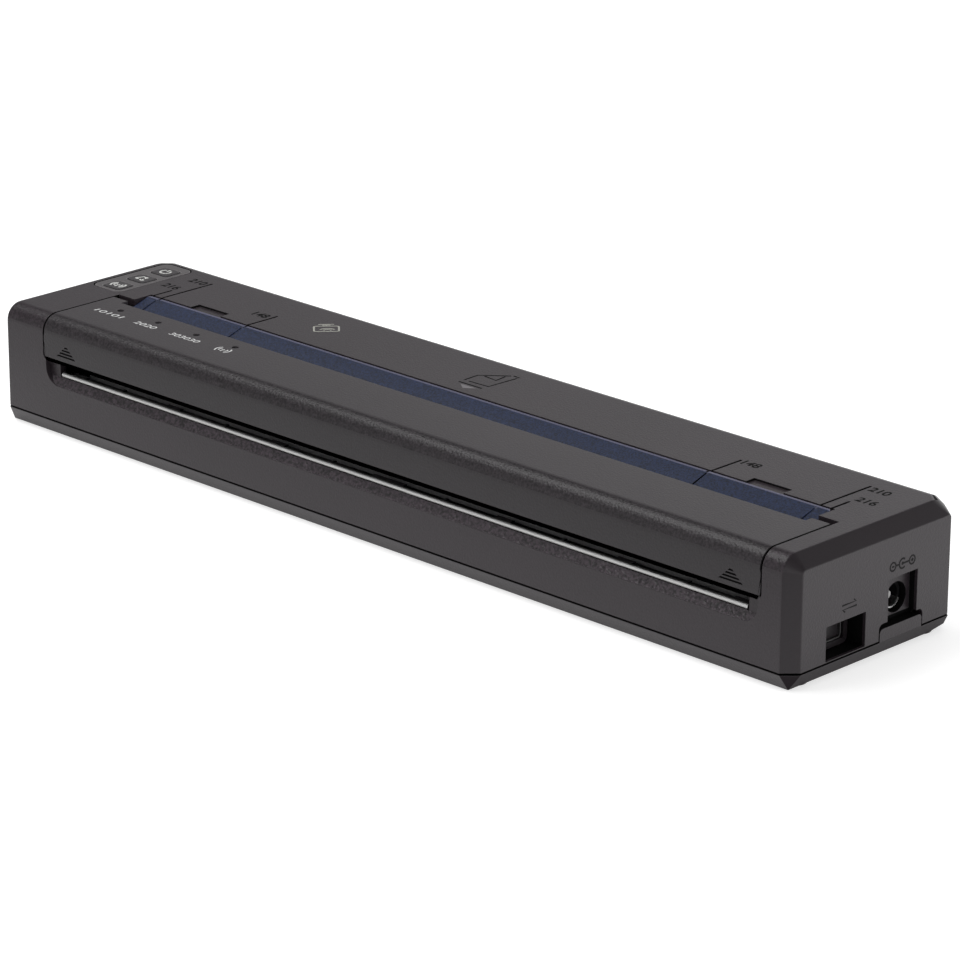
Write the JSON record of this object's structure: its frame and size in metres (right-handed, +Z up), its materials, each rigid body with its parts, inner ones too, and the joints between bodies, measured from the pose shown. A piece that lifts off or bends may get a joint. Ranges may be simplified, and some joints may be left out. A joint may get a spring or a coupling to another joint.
{
  "type": "portable thermal printer",
  "caption": "Long flat portable page printer with a hinged release cover along its front edge, a paper slot on top, a slot and tear bar at the front, and ports on its right end",
  "frame": {"origin": "centre of the footprint, on the table, under the middle of the case", "axes": "+X along the platen to the right end with the ports, -Y out of the front face where the paper comes out, +Z up"},
  "size_m": [0.255, 0.055, 0.0302],
  "materials": {
    "case": "fine-textured dark grey plastic",
    "cover": "fine-textured dark grey plastic",
    "panel": "smooth mid grey plastic",
    "button": "smooth dark plastic",
    "ramp_blue": "speckled dark blue plastic",
    "black_part": "black plastic",
    "lens": "dark clear light pipes",
    "white_part": "white acetal",
    "platen_rubber": "smooth silicone rubber",
    "foot_rubber": "moulded rubber",
    "steel": "plain steel",
    "brass": "plain brass",
    "heatsink": "extruded aluminium",
    "ceramic": "glazed ceramic substrate",
    "board": "green circuit board"
  },
  "bodies": {
    "base": {"upper_case": "case", "lower_case": "case", "paper_ramp": "ramp_blue", "exit_guide": "black_part", "tear_bar": "steel", "button_panel": "panel", "button_board": "board", "button_switches": "board", "hinge_pins": "steel", "latch_clips": "steel", "chassis": "steel", "thermal_head": "ceramic", "head_heatsink": "heatsink", "head_springs": "steel", "head_cable": "white_part", "drive_motor": "steel", "idler_axle": "steel", "paper_sensor": "black_part", "main_board": "board", "board_components": "black_part", "wireless_module": "board", "usb_socket": "steel", "dc_jack": "black_part", "dc_jack_pin": "steel", "jack_filler": "case", "battery_contacts": "brass", "rubber_feet": "foot_rubber", "case_screws": "steel", "chassis_screws": "steel", "board_screws": "steel"},
    "cover": {"release_cover": "cover", "light_pipes": "lens", "indicator_board": "board", "platen_bushes": "white_part"},
    "platen": {"platen_roller": "platen_rubber", "platen_shaft": "steel", "platen_gear": "white_part"},
    "flap": {"curl_flap": "black_part"},
    "idler": {"idler_gear": "white_part"},
    "pinion": {"motor_pinion": "brass"},
    "power_key": {"power_button": "button"},
    "feed_key": {"feed_button": "button"},
    "wireless_key": {"wireless_button": "button"},
    "lever": {"sensor_lever": "black_part"},
    "battery": {"battery_pack": "black_part"},
    "door": {"battery_door": "case"}
  },
  "joints": [
    {"name": "cover_hinge", "type": "hinge", "parent": "base", "child": "cover", "pos_m": [0.0039, -0.0066, 0.0272], "axis": [-1, 0, 0], "range_deg": [0, 70]},
    {"name": "platen_spin", "type": "hinge", "parent": "cover", "child": "platen", "pos_m": [0.0039, -0.0155, 0.0205], "axis": [1, 0, 0], "continuous": true},
    {"name": "idler_spin", "type": "hinge", "parent": "base", "child": "idler", "pos_m": [-0.1074, -0.00618, 0.01635], "axis": [1, 0, 0], "continuous": true},
    {"name": "pinion_spin", "type": "hinge", "parent": "base", "child": "pinion", "pos_m": [-0.1074, -0.00198, 0.00907], "axis": [1, 0, 0], "continuous": true},
    {"name": "flap_hinge", "type": "hinge", "parent": "cover", "child": "flap", "pos_m": [0.0039, -0.0248, 0.0261], "axis": [-1, 0, 0], "range_deg": [-15, 0]},
    {"name": "power_press", "type": "slide", "parent": "base", "child": "power_key", "axis": [0, 0, -1], "range_m": [0, 0.0005], "stiffness_N_per_m": 800},
    {"name": "feed_press", "type": "slide", "parent": "base", "child": "feed_key", "axis": [0, 0, -1], "range_m": [0, 0.0005], "stiffness_N_per_m": 800},
    {"name": "wireless_press", "type": "slide", "parent": "base", "child": "wireless_key", "axis": [0, 0, -1], "range_m": [0, 0.0005], "stiffness_N_per_m": 800},
    {"name": "sensor_swing", "type": "hinge", "parent": "base", "child": "lever", "pos_m": [0.0039, -0.0049, 0.0216], "axis": [1, 0, 0], "range_deg": [0, 20], "stiffness_Nm_per_rad": 0.0005},
    {"name": "door_slide", "type": "slide", "parent": "base", "child": "door", "axis": [-1, 0, 0], "range_m": [0, 0.2]},
    {"name": "battery_slide", "type": "slide", "parent": "base", "child": "battery", "axis": [-1, 0, 0], "range_m": [0, 0.18]}
  ],
  "couplings": [
    {"joint": "idler_spin", "follows": "platen_spin", "ratio": -1.125},
    {"joint": "pinion_spin", "follows": "platen_spin", "ratio": 1.5},
    {"joint": "battery_slide", "follows": "door_slide", "ratio": 0.9}
  ]
}
